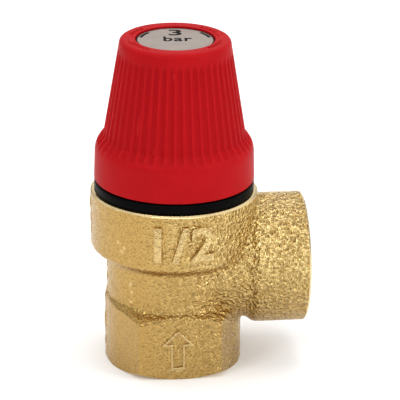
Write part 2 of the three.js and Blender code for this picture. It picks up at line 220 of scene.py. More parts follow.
# %% [markdown]
# ## Finishes
# Every finish is built from noise in object space, in metres, so that the grain has its true size on each
# piece. A helper makes the material and its object coordinates, and another adds a noise at a grain size
# in millimetres. Pointiness tells edges from hollows: edges rub bright, and on the brass the bright edges
# are partly painted highlights and the dark hollows are painted shade.


# %% Helpers that start a finish and its grain
def new_finish(name, metallic, roughness, specular=0.5):
    finish = bpy.data.materials.new(name)
    finish.use_nodes = True
    tree = finish.node_tree
    shader = tree.nodes["Principled BSDF"]
    shader.inputs["Metallic"].default_value = metallic
    shader.inputs["Roughness"].default_value = roughness
    shader.inputs["Specular IOR Level"].default_value = specular
    place = tree.nodes.new("ShaderNodeTexCoord").outputs["Object"]
    return finish, tree, shader, place


def grain(tree, place, size, detail=1.5, stretch=(1, 1, 1)):
    node = tree.nodes.new("ShaderNodeTexNoise")
    node.inputs["Scale"].default_value = 1 / (size * MM)
    node.inputs["Detail"].default_value = detail
    if stretch != (1, 1, 1):
        turned_place = tree.nodes.new("ShaderNodeMapping")
        turned_place.inputs["Scale"].default_value = stretch
        tree.links.new(place, turned_place.inputs["Vector"])
        place = turned_place.outputs["Vector"]
    tree.links.new(place, node.inputs["Vector"])
    return node.outputs["Fac"]


# %% Helpers that scale, mix and combine
def between(tree, value, low, high, start, end):
    node = tree.nodes.new("ShaderNodeMapRange")
    node.inputs["From Min"].default_value = low
    node.inputs["From Max"].default_value = high
    node.inputs["To Min"].default_value = start
    node.inputs["To Max"].default_value = end
    tree.links.new(value, node.inputs["Value"])
    return node.outputs["Result"]


def mixed(tree, amount, first, second):
    node = tree.nodes.new("ShaderNodeMix")
    node.data_type = "RGBA"
    for socket, colour in ((node.inputs[6], first), (node.inputs[7], second)):
        if isinstance(colour, tuple):
            socket.default_value = (*colour, 1)
        else:
            tree.links.new(colour, socket)
    tree.links.new(amount, node.inputs[0])
    return node.outputs[2]


def combined(tree, operation, first, second):
    node = tree.nodes.new("ShaderNodeMath")
    node.operation = operation
    for socket, value in zip(node.inputs, (first, second)):
        if isinstance(value, (int, float)):
            socket.default_value = value
        else:
            tree.links.new(value, socket)
    return node.outputs[0]


# %% Helpers for bumps and edges
def bump(tree, shader, height, depth):
    node = tree.nodes.new("ShaderNodeBump")
    node.inputs["Strength"].default_value = 1
    node.inputs["Distance"].default_value = depth * MM
    tree.links.new(height, node.inputs["Height"])
    tree.links.new(node.outputs["Normal"], shader.inputs["Normal"])


def pointiness(tree, low, high):
    edge = tree.nodes.new("ShaderNodeNewGeometry").outputs["Pointiness"]
    return between(tree, edge, low, high, 0, 1)


# %% [markdown]
# ### Forged and blasted brass
# The forging is shot-blasted before it is machined, which leaves a skin of fine pebbles that catch the
# light one by one. One noise near half a millimetre makes the pebbles, another of several millimetres makes
# slow changes of tone. The tops of the pebbles are smoother than the hollows between them, and paler as
# painted glints, while the hollows carry painted shade. The grain is finer on the inlet side. The brass
# also gets painted shade towards the foot, more on the outlet side, and in its corners and creases, and
# painted highlights along its edges besides their wear.
# Raised figures and lines rub bright, so they get their own, paler skin.

# %% Forged brass
PEBBLE = 0.62  # three sizes of grain, in millimetres
FINE_PEBBLE = 0.36
PATCH = 5.5
# painted shade in the pebbles' hollows and painted glints on their tops
FINE_SKIN_SHADE_AND_GLINT = ((0.40, 0.24, 0.071), (0.55, 0.36, 0.12))  # hollows and tops on the inlet side
PITTED_SKIN_SHADE_AND_GLINT = ((0.43, 0.28, 0.092), (0.93, 0.72, 0.32))  # and toward the outlet
TARNISH = (0.46, 0.29, 0.09)
LOW_PAINTED_SHADE = (0.42, 0.26, 0.08)
RUBBED_AND_HIGHLIT = (0.90, 0.72, 0.38)
CREASE_SHADE = (0.28, 0.16, 0.05)
CORNER_SHADE = (0.28, 0.155, 0.045)
BUMP_DEPTH = 0.42


def blasted_brass(name, wear):
    finish, tree, shader, place = new_finish(name, 1, 0.34)
    pebbles = grain(tree, place, PEBBLE, 1.0)
    fine = grain(tree, place, FINE_PEBBLE, 1.0)
    patches = grain(tree, place, PATCH, 2.0)
    apart = tree.nodes.new("ShaderNodeSeparateXYZ")
    tree.links.new(place, apart.inputs[0])
    toward_outlet = between(tree, apart.outputs["X"], -0.008, 0.016, 0, 1)
    # pebble colours: painted shade in the hollows, painted glints on the tops
    fine_shade_and_glint = mixed(tree, between(tree, fine, 0.3, 0.7, 0, 1), *FINE_SKIN_SHADE_AND_GLINT)
    pitted_shade_and_glint = mixed(tree, between(tree, pebbles, 0.36, 0.64, 0, 1), *PITTED_SKIN_SHADE_AND_GLINT)
    skin = mixed(tree, toward_outlet, fine_shade_and_glint, pitted_shade_and_glint)
    skin = mixed(tree, between(tree, patches, 0.35, 0.7, 0, 0.35), skin, TARNISH)
    # painted shade: the brass darkens towards the foot, more on the outlet side
    downward_shade = between(tree, apart.outputs["Z"], 0.027, 0.010, 0, 1)
    low_shade_mask = combined(tree, "MULTIPLY", downward_shade, between(tree, toward_outlet, 0, 1, 0.3, 0.8))
    skin = mixed(tree, low_shade_mask, skin, LOW_PAINTED_SHADE)
    # bright edges from pointiness: partly wear, partly painted highlights
    edges = combined(tree, "MULTIPLY", pointiness(tree, 0.54, 0.60), 0.35)
    worn = mixed(tree, combined(tree, "MAXIMUM", edges, wear), skin, RUBBED_AND_HIGHLIT)
    # painted shade in concave creases, where pointiness is low
    crease_shade_mask = combined(tree, "MULTIPLY", pointiness(tree, 0.47, 0.40), 0.4)
    crease_shaded = mixed(tree, crease_shade_mask, worn, CREASE_SHADE)
    # painted shade in corners and recesses, from ambient occlusion
    shade_occlusion = tree.nodes.new("ShaderNodeAmbientOcclusion")
    shade_occlusion.samples = 8
    shade_occlusion.inputs["Distance"].default_value = 3 * MM
    corner_shade_mask = between(tree, shade_occlusion.outputs["AO"], 0.65, 0.35, 0, 0.35)
    tree.links.new(mixed(tree, corner_shade_mask, crease_shaded, CORNER_SHADE), shader.inputs["Base Color"])
    tree.links.new(between(tree, pebbles, 0.3, 0.7, 0.34, 0.2), shader.inputs["Roughness"])
    fine_part = combined(tree, "MULTIPLY", fine, between(tree, toward_outlet, 0, 1, 0.34, 0.2))
    pebble_part = combined(tree, "MULTIPLY", pebbles, between(tree, toward_outlet, 0, 1, 0.25, 2.5))
    bump(tree, shader, combined(tree, "ADD", fine_part, pebble_part), BUMP_DEPTH)
    return finish


forged_brass = blasted_brass("blasted_brass", 0)
raised_brass = blasted_brass("raised_brass", 0.3)
print("brass skins:", forged_brass.name, raised_brass.name)

# %% [markdown]
# ### Turned brass
# Where a tool has cut the brass it is bright, with fine rings round the axis it was turned on. Noise that is
# read by distance from the axis gives rings, and a little of the plain noise keeps them from looking drawn.


# %% Turned brass
QUARTER = math.pi / 2
OUTLET_HEIGHT = 19.18
CUT_BRASS = (0.88, 0.68, 0.36)
RINGS_SCALE = 900  # rings about a third of a millimetre apart


def turned_brass(name, mapping_place, mapping_turn):
    finish, tree, shader, place = new_finish(name, 1, 0.25)
    centred = tree.nodes.new("ShaderNodeMapping")
    centred.inputs["Location"].default_value = mapping_place
    centred.inputs["Rotation"].default_value = mapping_turn
    tree.links.new(place, centred.inputs["Vector"])
    rings = tree.nodes.new("ShaderNodeTexWave")
    rings.wave_type = "RINGS"
    rings.rings_direction = "Z"
    rings.inputs["Scale"].default_value = RINGS_SCALE
    rings.inputs["Distortion"].default_value = 1.5
    rings.inputs["Detail"].default_value = 1
    tree.links.new(centred.outputs["Vector"], rings.inputs["Vector"])
    marks = grain(tree, place, 0.5, 2)
    height = combined(tree, "MULTIPLY", rings.outputs["Fac"], marks)
    darker = tuple(part * 0.72 for part in CUT_BRASS)
    tree.links.new(mixed(tree, marks, darker, CUT_BRASS), shader.inputs["Base Color"])
    tree.links.new(between(tree, marks, 0.3, 0.7, 0.18, 0.34), shader.inputs["Roughness"])
    bump(tree, shader, height, 0.02)
    return finish


turned_upright = turned_brass("turned_brass_upright", (0, 0, 0), (0, 0, 0))
turned_outlet = turned_brass("turned_brass_outlet", (-OUTLET_HEIGHT * MM, 0, 0), (0, QUARTER, 0))
print("turned finishes:", turned_upright.name, turned_outlet.name)

# %% [markdown]
# ### Plastics, print, rubber and steel
# The knob is moulded in red with a faint satin texture, and its flutes get painted shade: the red is a little
# darker where they are pressed in. The bonnet is black, with glass fibre in it for strength. The rest is
# inside, but it still gets grain, because poses and the open outlet show parts of it.


# %% Plastics, print, rubber and steel
def grained(
    name, dark, light, size, depth, rough, metallic=0, specular=0.5, stretch=(1, 1, 1), shaded=None
):
    finish, tree, shader, place = new_finish(name, metallic, rough[0], specular)
    specks = grain(tree, place, size, 2, stretch)
    clouds = grain(tree, place, size * 14, 2)
    half_specks = combined(tree, "MULTIPLY", specks, 0.5)
    half_clouds = combined(tree, "MULTIPLY", clouds, 0.5)
    tone = combined(tree, "ADD", half_specks, half_clouds)
    body = mixed(tree, between(tree, tone, 0.38, 0.62, 0, 1), dark, light)
    # painted shade in the knob's flutes, read from the attribute written when they are pressed in
    if shaded:
        flute_shade_mask = tree.nodes.new("ShaderNodeAttribute")
        flute_shade_mask.attribute_name = "pressed"
        body = mixed(tree, flute_shade_mask.outputs["Fac"], body, shaded)
    rubbed = tuple(min(1, part * 1.25 + 0.01) for part in light)
    worn = between(tree, pointiness(tree, 0.52, 0.60), 0, 1, 0, 0.5)
    tree.links.new(mixed(tree, worn, body, rubbed), shader.inputs["Base Color"])
    tree.links.new(between(tree, specks, 0.3, 0.7, *rough), shader.inputs["Roughness"])
    bump(tree, shader, specks, depth)
    return finish


# shaded is the painted shade in the flutes
red_plastic = grained(
    "moulded_red", (0.40, 0.0055, 0.0080), (0.45, 0.0065, 0.0095), 0.35, 0.005, rough=(0.40, 0.50),
    specular=0.04, shaded=(0.40, 0.005, 0.008),
)
black_plastic = grained(
    "moulded_black", (0.0006, 0.0005, 0.0006), (0.002, 0.002, 0.002), 0.3, 0.03, rough=(0.3, 0.5),
    specular=0.03,
)
grey_print = grained(
    "label_grey", (0.28, 0.235, 0.205), (0.315, 0.27, 0.24), 0.25, 0.002, rough=(0.45, 0.6), specular=0.3
)
black_ink = grained(
    "black_ink", (0.003, 0.003, 0.003), (0.006, 0.005, 0.005), 0.2, 0.002, rough=(0.5, 0.7), specular=0.04
)
rubber = grained(
    "black_rubber", (0.012, 0.012, 0.013), (0.024, 0.024, 0.025), 0.2, 0.01, rough=(0.6, 0.8)
)
steel = grained(
    "bright_steel", (0.42, 0.43, 0.44), (0.62, 0.62, 0.63), 0.3, 0.006, rough=(0.22, 0.36),
    metallic=1, stretch=(1, 1, 6),
)
print("finishes:", len(bpy.data.materials))

# %% [markdown]
# ## Turning a piece
# Most pieces of a valve are turned, so one helper does it: a closed outline of radius and height is spun
# once round the axis. A third number on a point rounds that corner, by bevelling the vertex of the
# outline before the spin, which costs far fewer faces than bevelling the finished solid. Two more helpers
# lay a turned piece on the outlet's axis, and cut or join one piece with another.


# %% Helper that turns an outline
def turned(outline, segments=128):
    bm = bmesh.new()
    corners = [bm.verts.new((point[0] * MM, 0, point[1] * MM)) for point in outline]
    for first, second in zip(corners, corners[1:]):
        bm.edges.new((first, second))
    if outline[0][0] > 0:
        bm.edges.new((corners[-1], corners[0]))
    for radius in sorted({point[2] for point in outline if len(point) > 2}):
        soft = [corner for corner, point in zip(corners, outline) if point[2:] == (radius,)]
        bmesh.ops.bevel(
            bm, geom=soft, offset=radius * MM, segments=4, profile=0.5, affect="VERTICES", material=-1
        )
    bmesh.ops.spin(
        bm, geom=[*bm.verts, *bm.edges], cent=(0, 0, 0), axis=(0, 0, 1), dvec=(0, 0, 0),
        angle=math.tau, steps=segments, use_merge=True,
    )
    bmesh.ops.remove_doubles(bm, verts=bm.verts[:], dist=1e-7)
    bmesh.ops.recalc_face_normals(bm, faces=bm.faces[:])
    return bm


# %% Helpers that lay on the outlet's axis and cut
def lay_on_outlet(bm):
    bmesh.ops.rotate(bm, verts=bm.verts[:], cent=(0, 0, 0), matrix=Matrix.Rotation(QUARTER, 3, "Y"))
    bmesh.ops.translate(bm, verts=bm.verts[:], vec=(0, 0, OUTLET_HEIGHT * MM))
    return bm


def cut(made, tool, operation="DIFFERENCE"):
    boolean = made.modifiers.new("boolean", "BOOLEAN")
    boolean.operation = operation
    boolean.solver = "MANIFOLD"
    boolean.material_mode = "TRANSFER"
    boolean.object = tool
    apply_modifiers(made)
    bpy.data.objects.remove(tool)


# %% [markdown]
# ## The brass forging
# The body starts as three simple solids: a hexagon for the wrench, a neck that opens into a bowl, and a
# round boss for the outlet. A forging has no sharp inside corners, because hot brass flows round the die's
# edges. We join the three, rebuild the skin from small cubes of space, called a voxel remesh, and
# smooth it, which turns every corner into a fillet of about the right size.

# %% Hexagon
HEX_FLATS = 27
HEX_HEIGHT = 13
HEX_HALF_WIDTH = 13.0
NECK_RADIUS = 12.68
SPARE = 0.6  # brass that the machining takes off later
CHAMFER_SLOPE = math.tan(math.radians(30))
BLANK_RADIUS = 18  # outside the hexagon's corners
ARC_SHARE = 1 - math.sqrt(0.5)  # how far a round bevel pulls a corner in, as a share of its width

hex_corner = HEX_FLATS / 2 / math.cos(math.radians(30))
hexagon = bmesh.new()
bmesh.ops.create_cone(
    hexagon, cap_ends=True, segments=6, radius1=hex_corner * MM, radius2=hex_corner * MM,
    depth=(HEX_HEIGHT + SPARE) * MM, matrix=Matrix.Translation((0, 0, (HEX_HEIGHT - SPARE) / 2 * MM)),
)
bmesh.ops.rotate(hexagon, verts=hexagon.verts[:], cent=(0, 0, 0), matrix=Matrix.Rotation(QUARTER, 3, "Z"))
upright_edges = [edge for edge in hexagon.edges if abs(edge.verts[0].co.z - edge.verts[1].co.z) > MM]
side_edges = [edge for edge in upright_edges if abs(edge.verts[0].co.y) < MM]
bmesh.ops.bevel(
    hexagon, geom=side_edges, offset=(hex_corner - HEX_HALF_WIDTH) / ARC_SHARE * MM, segments=12,
    profile=0.5, affect="EDGES", material=-1,
)
valve_skin = add_object("valve_skin", hexagon, forged_brass)
cone = turned([
    (0, -1),
    (BLANK_RADIUS, -1),
    (BLANK_RADIUS, HEX_HEIGHT - (BLANK_RADIUS - NECK_RADIUS) * CHAMFER_SLOPE),
    (NECK_RADIUS, HEX_HEIGHT),
    (0, HEX_HEIGHT),
])
cut(valve_skin, add_object("cone", cone, forged_brass), "INTERSECT")
print("hexagon over its corners, mm:", round(hex_corner * 2, 2))

# %% Neck, bowl and outlet boss
BODY_TOP = 33.95
bowl = turned([
    (0, 5),
    (NECK_RADIUS, 5),
    (NECK_RADIUS, 21.0, 0.9),
    (15.69, 22.75, 0.5),
    (15.9, BODY_TOP + SPARE),
    (0, BODY_TOP + SPARE),
])
cut(valve_skin, add_object("bowl", bowl, forged_brass), "UNION")

OUTLET_REACH = 24.92
OUTLET_RADIUS = 12.42
boss = lay_on_outlet(turned([
    (0, 2),
    (11.3, 2),
    (11.3, 13.5, 0.6),
    (OUTLET_RADIUS, 14.9, 0.6),
    (OUTLET_RADIUS, OUTLET_REACH + SPARE),
    (0, OUTLET_REACH + SPARE),
]))
cut(valve_skin, add_object("boss", boss, forged_brass), "UNION")
print("joined faces:", len(valve_skin.data.polygons))

# %% Remesh, smooth and roughen the skin
VOXEL = 0.28
remesh = valve_skin.modifiers.new("remesh", "REMESH")
remesh.mode = "VOXEL"
remesh.voxel_size = VOXEL * MM
soften = valve_skin.modifiers.new("soften", "SMOOTH")
soften.factor = 0.5
soften.iterations = 3
apply_modifiers(valve_skin)

hammered = bpy.data.textures.new("hammered", "CLOUDS")
hammered.noise_scale = 1.1 * MM
hammered.noise_depth = 1
uneven = valve_skin.modifiers.new("uneven", "DISPLACE")
uneven.texture = hammered
uneven.texture_coords = "LOCAL"
uneven.strength = 0.08 * MM
uneven.mid_level = 0.5
apply_modifiers(valve_skin)
print("skin faces:", len(valve_skin.data.polygons))

# %% [markdown]
# ### The parting line
# The two halves of the die meet in the plane through both axes. The flash that squeezes out between them
# is trimmed off, which leaves a narrow, slightly ragged strip all round. We lift the corners of the skin
# near that plane, and let a noise decide how much of the strip the trimming left.

# %% Trimmed flash
SEAM_HALF_WIDTH = 0.42
SEAM_HEIGHT = 0.22
SEAM_RAGGED = 1.7  # size of the nicks along it
lifted = 0
normals = [corner.normal.copy() for corner in valve_skin.data.vertices]
for corner, normal in zip(valve_skin.data.vertices, normals):
    off_plane = abs(corner.co.y) / (SEAM_HALF_WIDTH * MM)
    if off_plane < 1 and abs(normal.y) < 0.5:
        left_over = 0.6 + 0.8 * noise.noise(corner.co / (SEAM_RAGGED * MM))
        corner.co += normal * SEAM_HEIGHT * (1 - off_plane**2) * max(0, left_over) * MM
        lifted += 1
print("corners lifted along the seam:", lifted)

# %% [markdown]
# ### The size figures
# The pipe size stands on the bowl in raised figures. They start as a flat text, become a mesh, and are
# then bent round the bowl. They go on after the smoothing, which would wear such thin strokes away.

# %% Helper that makes a text a mesh
def text_mesh(words, size, thickness, bolder=0.0, space=1.0, rounding=0.0):
    curve = bpy.data.curves.new("words", "FONT")
    curve.body = words
    curve.size = size * MM
    curve.extrude = thickness / 2 * MM
    curve.offset = bolder * MM
    curve.bevel_depth = rounding * MM
    curve.bevel_resolution = 2
    curve.space_character = space
    curve.align_x = "CENTER"
    curve.align_y = "CENTER"
    lettering = bpy.data.objects.new("words", curve)
    bpy.context.scene.collection.objects.link(lettering)
    bpy.context.view_layer.update()
    bm = bmesh.new()
    bm.from_mesh(lettering.to_mesh())
    lettering.to_mesh_clear()
    bpy.data.objects.remove(lettering)
    bmesh.ops.remove_doubles(bm, verts=bm.verts[:], dist=1e-7)
    bmesh.ops.recalc_face_normals(bm, faces=bm.faces[:])
    return bm


# %% Raised size figures
BOWL_FACE = 15.78
FIGURES_HEIGHT = 27.9
FIGURES_ASIDE = 0.5
FIGURES_PROUD = 0.2  # how far the middle of their thickness lies outside the bowl
figures = text_mesh("1/2", 9.2, 0.6, bolder=0.06, space=1.12, rounding=0.24)
for corner in figures.verts:
    turn = (corner.co.x - FIGURES_ASIDE * MM) / (BOWL_FACE * MM)
    reach = BOWL_FACE * MM + corner.co.z + FIGURES_PROUD * MM
    corner.co = (reach * math.sin(turn), -reach * math.cos(turn), corner.co.y + FIGURES_HEIGHT * MM)
print("figures open edges:", sum(not edge.is_manifold for edge in figures.edges))
cut(valve_skin, add_object("figures", figures, raised_brass), "UNION")

# %% [markdown]
# ### The flow arrow
# An arrow in outline stands on the front flat and shows which way the water goes. We draw its outline as
# one face, inset it to get an even line, throw the middle away and extrude what is left. A face made from
# corners has no normal until it is asked for, and without one the inset has no width.

# %% Flow arrow
ARROW = [(0, 8.1), (-3.35, 4.75), (-1.38, 4.75), (-1.38, 0), (1.38, 0), (1.38, 4.75), (3.35, 4.75)]
ARROW_LINE = 0.5
ARROW_DEPTH = 0.9
ARROW_BURIED = 0.6  # how much of its depth lies below the flat
ARROW_FOOT = 2.1
ARROW_ASIDE = -0.5
arrow = bmesh.new()
outline = arrow.faces.new([arrow.verts.new((x * MM, 0, z * MM)) for x, z in ARROW])
outline.normal_update()
bmesh.ops.inset_individual(arrow, faces=[outline], thickness=ARROW_LINE * MM, use_even_offset=True)
bmesh.ops.delete(arrow, geom=[outline], context="FACES_ONLY")
front = bmesh.ops.extrude_face_region(arrow, geom=arrow.faces[:])
front_corners = [thing for thing in front["geom"] if isinstance(thing, bmesh.types.BMVert)]
bmesh.ops.translate(arrow, verts=front_corners, vec=(0, -ARROW_DEPTH * MM, 0))
bmesh.ops.recalc_face_normals(arrow, faces=arrow.faces[:])
rims = [
    edge for edge in arrow.edges
    if all(corner.co.y < -ARROW_BURIED * MM for corner in edge.verts) and edge.calc_face_angle(0) > 1
]
bmesh.ops.bevel(arrow, geom=rims, offset=0.18 * MM, segments=3, profile=0.5, affect="EDGES", material=-1)
bmesh.ops.translate(
    arrow, verts=arrow.verts[:], vec=(ARROW_ASIDE * MM, (ARROW_BURIED - HEX_FLATS / 2) * MM, ARROW_FOOT * MM)
)
print("arrow open edges:", sum(not edge.is_manifold for edge in arrow.edges))
cut(valve_skin, add_object("arrow", arrow, raised_brass), "UNION")

# %% [markdown]
# ### Machining
# The lathe now cuts the faces that have to be true: the foot, the rim under the bonnet and the end of the
# boss. The cutters carry the turned brass finish, and the boolean hands it to the faces they leave. The rim
# is cut in a second clamping, so it sits a tenth of a millimetre off the axis.

# %% Turn the outside faces
CLEAR = 19  # a radius clear of the hexagon and the bowl
FOOT_RADIUS = 13.4
RIM_ASIDE = -0.1
foot_cutter = turned([
    (0, -3),
    (CLEAR, -3),
    (CLEAR, (CLEAR - FOOT_RADIUS) * CHAMFER_SLOPE),
    (FOOT_RADIUS, 0),
    (0, 0),
])
cut(valve_skin, add_object("foot_cutter", foot_cutter, turned_upright))
rim_cutter = turned([
    (0, BODY_TOP),
    (15.55, BODY_TOP, 0.12),
    (15.80, 33.65),
    (16.05, 33.45),
    (CLEAR, 33.45),
    (CLEAR, 37),
    (0, 37),
])
bmesh.ops.translate(rim_cutter, verts=rim_cutter.verts[:], vec=(RIM_ASIDE * MM, 0, 0))
cut(valve_skin, add_object("rim_cutter", rim_cutter, turned_upright))
end_cutter = lay_on_outlet(turned([
    (0, OUTLET_REACH),
    (12.05, OUTLET_REACH),
    (13.2, OUTLET_REACH - 1.15),
    (13.2, 27),
    (0, 27),
]))
cut(valve_skin, add_object("end_cutter", end_cutter, turned_outlet))
print("after turning:", len(valve_skin.data.polygons))

# %% [markdown]
# Both sockets have a half-inch parallel pipe thread. A thread is one tooth that travels round and along the
# axis together, so we spin a single face with a small step along the axis, and subtract the coil.

# %% Helper for a pipe thread
PITCH = 1.814
MINOR = 9.316  # radius of the bore, at the tips of the thread left in the brass
MAJOR = 10.478  # radius at the bottom of the groove
INTO_BORE = 0.12  # the tool starts inside the bore, so that it cuts cleanly


def thread(start, turns, steps_per_turn=64):
    bm = bmesh.new()
    flank = [(MINOR - INTO_BORE, 0.79), (MAJOR - 0.1, 0.2), (MAJOR, 0.1)]
    tooth = [(radius, -along) for radius, along in flank] + flank[::-1]
    bm.faces.new([bm.verts.new((radius * MM, 0, (start + along) * MM)) for radius, along in tooth])
    bmesh.ops.spin(
        bm, geom=[*bm.verts, *bm.edges, *bm.faces], cent=(0, 0, 0), axis=(0, 0, 1),
        dvec=(0, 0, PITCH / steps_per_turn * MM), angle=math.tau * turns, steps=round(steps_per_turn * turns),
    )
    bmesh.ops.recalc_face_normals(bm, faces=bm.faces[:])
    return bm


print("thread depth, mm:", round(MAJOR - MINOR, 3))

# %% Cut the upright passage
SEAT = 19.5
NOZZLE_RADIUS = 8.3
passage = turned([
    (0, -2),
    (12.6, -2),
    (MINOR, 1.284),  # lead-in of the inlet socket
    (MINOR, 11.5),
    (6.5, 11.5, 0.4),  # bore of the nozzle
    (6.5, SEAT - 0.5),
    (6.9, SEAT, 0.1),  # the seat, a narrow raised ring
    (7.5, SEAT, 0.1),
    (NOZZLE_RADIUS, SEAT - 0.7),
    (NOZZLE_RADIUS, 14, 0.5),
    (10.7, 14, 0.8),  # chamber round the nozzle
    (10.7, 21.0),
    (12.8, 22.8, 0.5),
    (12.8, 29),
    (14, 29),  # shoulder that clamps the diaphragm
    (14, BODY_TOP - 0.6),
    (14.6, BODY_TOP),
    (14.6, BODY_TOP + 3),
    (0, BODY_TOP + 3),
])
cut(valve_skin, add_object("passage", passage, turned_upright))
cut(valve_skin, add_object("inlet_thread", thread(-1.2, 6.6), turned_upright))
print("seat height, mm:", SEAT)

# %% Cut the outlet
PORT_RADIUS = 6.8
PORT_HEIGHT = 21.1
socket = lay_on_outlet(turned([(0, 15), (MINOR, 15, 0.4), (MINOR, 23.636), (12.9, 27.22), (0, 27.22)]))
cut(valve_skin, add_object("socket", socket, turned_outlet))
port = lay_on_outlet(turned([(0, 5), (PORT_RADIUS, 5), (PORT_RADIUS, 15.5), (0, 15.5)]))
bmesh.ops.translate(port, verts=port.verts[:], vec=(0, 0, (PORT_HEIGHT - OUTLET_HEIGHT) * MM))
port_cutter = add_object("port", port, turned_outlet)
nozzle = turned([(0, 0), (NOZZLE_RADIUS, 0), (NOZZLE_RADIUS, SEAT + 0.1), (0, SEAT + 0.1)])
cut(port_cutter, add_object("nozzle", nozzle, turned_upright))  # the port goes round the nozzle, not through
cut(valve_skin, port_cutter)
cut(valve_skin, add_object("outlet_thread", lay_on_outlet(thread(16.4, 5.4)), turned_outlet))
print("finished body faces:", len(valve_skin.data.polygons))

# %% Put the body in place
valve_skin.name = "valve_casting"
smooth_shade(valve_skin)
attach(valve_skin, "body")
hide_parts("valve_body")
print("body finishes:", [slot.name for slot in valve_skin.data.materials])

# %% [markdown]
# ## The black bonnet
# The bonnet screws into the bowl and closes the spring in. Only its flange shows, as a dark ring between
# brass and knob. On top of the flange are four ramps. Each is the line of a ramp's top edge, spun with
# a rise so that it becomes a climbing strip, which is then extruded down into the flange.

# %% Bonnet shell
FLANGE_TOP = 35.85
bonnet = add_object("bonnet_shell", turned([
    (10.8, 30.7, 0.2),  # foot of the screwed collar
    (13.8, 30.7, 0.3),
    (13.8, 34.05),
    (15.15, 34.05, 0.25),  # flange on the body's rim
    (15.15, FLANGE_TOP, 0.25),
    (10, FLANGE_TOP),
    (10, 51.5, 0.3),  # tower round the spring
    (8.7, 51.5, 0.3),
    (8.7, 36),
    (10.8, 34),
]), black_plastic)
print("bonnet faces:", len(bonnet.data.polygons))


# %% Helper that bends a bar round the axis
def turn_by(bm, angle):
    bmesh.ops.rotate(bm, verts=bm.verts[:], cent=(0, 0, 0), matrix=Matrix.Rotation(angle, 3, "Z"))


def bent_bar(inner, outer, start, span, top_from, top_to, far):
    """A bar that starts at an angle and spans another, in degrees. One face climbs from top_from to top_to,
    and the other, far, is level."""
    bm = bmesh.new()
    steps = max(2, round(span / 3))
    ends = [bm.verts.new((radius * MM, 0, top_from * MM)) for radius in (inner, outer)]
    bm.edges.new(ends)
    bmesh.ops.spin(
        bm, geom=[*bm.verts, *bm.edges], cent=(0, 0, 0), axis=(0, 0, 1),
        dvec=(0, 0, (top_to - top_from) / steps * MM), angle=math.radians(span), steps=steps,
    )
    level = bmesh.ops.extrude_face_region(bm, geom=bm.faces[:])
    for thing in level["geom"]:
        if isinstance(thing, bmesh.types.BMVert):
            thing.co.z = far * MM
    bmesh.ops.recalc_face_normals(bm, faces=bm.faces[:])
    turn_by(bm, math.radians(start))
    return bm


# %% Ramps
CAM_RISE = 1.8 / 74  # millimetres for a degree
CAM_STARTS = (0, 90, 180, 270)
RAMP_SPAN = 85
RAMP_FOOT = FLANGE_TOP + 0.3
RAMP_HEAD = RAMP_FOOT + RAMP_SPAN * CAM_RISE
for start in CAM_STARTS:
    ramp = bent_bar(9.8, 12.7, start, RAMP_SPAN, RAMP_FOOT, RAMP_HEAD, FLANGE_TOP - 0.2)
    cut(bonnet, add_object("ramp", ramp, black_plastic), "UNION")
smooth_shade(bonnet)
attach(bonnet, "body")
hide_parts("bonnet")

# %% [markdown]
# ## The red knob
# The knob is one moulding: a skirt, a rounded shoulder and a leaning wall with 48 flutes for grip. We spin
# its outline with fourteen columns to a flute, then press each flute in along the surface's own
# normals. The footprint of a flute is a long pill: full depth along its middle, rounded at the shoulder
# and fading softly below the plain band at the top.

# %% Knob outline
FLUTES = 48
COLUMNS = 14
WAIST = (13.42, 44.98)
CROWN = (10.62, 62.1)
RIM_TOP = 63.59
LABEL_FLOOR = 62.6


def steps_between(first, last, count):
    return [tuple(a + (b - a) * i / count for a, b in zip(first, last)) for i in range(1, count)]


knob_outline = [
    (14.85, 36.05, 0.1),  # skirt, then shoulder, wall and rim
    (15.19, 36.3, 0.15),
    (15.05, 41.6),
    (15.02, 43.3, 1.45),
    *steps_between((14.2, 44.2), WAIST, 4),
    (*WAIST, 0.18),
    *steps_between(WAIST, CROWN, 34)[1:],
    CROWN,
    (10.4, RIM_TOP, 0.75),
    (7.5, RIM_TOP, 0.12),  # recess for the label
    (7.5, LABEL_FLOOR),
    (6.3, LABEL_FLOOR),
    (6.3, 55),  # floor of the cup that lifts the spindle
    (3.4, 55),
    (3.4, 53.5),
    (7.9, 53.5),
    (7.9, 61),
    (9, 61),
    (11.2, 46),
    (13.2, 42),
    (13.2, 36.05),
]
knob_mesh = turned(knob_outline, FLUTES * COLUMNS)
print("knob faces:", len(knob_mesh.faces))

# %% Press the flutes in
FLUTE_START = math.radians(5.3)
FLUTE_DEPTH = 0.38
FLUTE_SHARE = 0.37  # half a flute's width, as a share of the pitch
FLUTE_FOOT = 43.8  # a flute has its full width between these two heights
FLUTE_HEAD = 60.2
FOOT_BLUNTNESS = 1.4
HEAD_FADE = 2.0
HOLLOW = 0.75  # below 1, the bottom of a flute is broad and its sides are steep
WALL_START = 42
pitch = math.tau / FLUTES
knob_mesh.normal_update()
# how far each corner is pressed in, kept for the painted shade in the flutes
flute_shade_layer = knob_mesh.verts.layers.float.new("pressed")
pressed = 0
for corner in knob_mesh.verts:
    radius = math.hypot(corner.co.x, corner.co.y) / MM
    height = corner.co.z / MM
    inside_wall = 16.6 - height * 0.115  # a leaning line that runs inside the outer face
    if radius <= inside_wall or height <= WALL_START:
        continue
    angle = (math.atan2(corner.co.y, corner.co.x) - FLUTE_START + pitch / 2) % pitch - pitch / 2
    half_width = FLUTE_SHARE * pitch * radius
    beyond = max(0, (FLUTE_FOOT - height) * FOOT_BLUNTNESS, (height - FLUTE_HEAD) / HEAD_FADE)
    reach = math.hypot(angle * radius, beyond) / half_width
    if reach < 1:
        share = (1 - reach**2) ** HOLLOW
        corner.co -= corner.normal * FLUTE_DEPTH * share * MM
        corner[flute_shade_layer] = share
        pressed += 1
print("pressed corners:", pressed)

# %% [markdown]
# Four lugs inside the skirt rest on the ramps, and climb them when the knob is turned.

